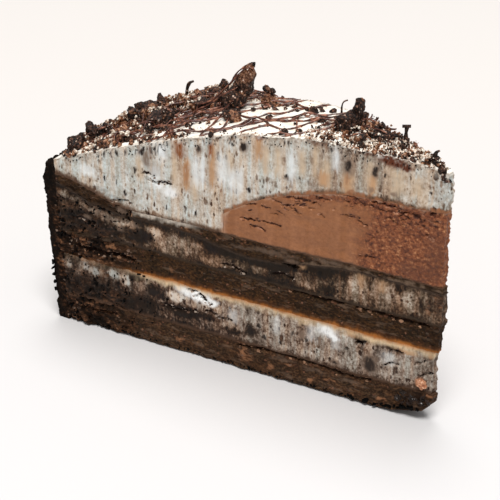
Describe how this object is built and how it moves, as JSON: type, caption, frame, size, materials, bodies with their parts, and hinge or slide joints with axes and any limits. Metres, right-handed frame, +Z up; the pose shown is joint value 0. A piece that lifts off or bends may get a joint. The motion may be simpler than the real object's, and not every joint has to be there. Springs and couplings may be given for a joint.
{
  "type": "cake slice",
  "caption": "Wedge slice of a domed layer cake: dark crumb layers, streaked cookies and cream mousse, a chocolate mousse heart, a dark crust wall, cookie rubble and drizzle on top.",
  "frame": {"origin": "middle of the flat base, halfway along the slice, at table height", "axes": "+X from the crust wall to the point of the slice, -Y the side of the near cut face, +Z up"},
  "size_m": [0.1263, 0.0672, 0.0857],
  "materials": {
    "crust": "rough chocolate crumb",
    "cake": "moist dark crumb",
    "cream": "matte mousse with cookie specks",
    "chocolate": "matte mousse",
    "cookie": "dry broken cookie"
  },
  "bodies": {
    "root": {"crust_wall": "crust", "cake_bottom": "cake", "mousse_lower": "cream", "cake_middle": "cake", "mousse_middle": "cream", "cake_top": "cake", "mousse_chocolate": "chocolate", "mousse_top": "cream", "cookie_chunk_1": "cookie", "cookie_chunk_2": "cookie", "cookie_chunk_3": "cookie", "cookie_chunk_4": "cookie", "cookie_chunk_5": "cookie", "cookie_chunk_6": "cookie", "cookie_chunk_7": "cookie", "cookie_chunk_8": "cookie", "cookie_chunk_9": "cookie", "cookie_chunk_10": "cookie", "cookie_chunk_11": "cookie", "cookie_chunk_12": "cookie"}
  },
  "joints": []
}
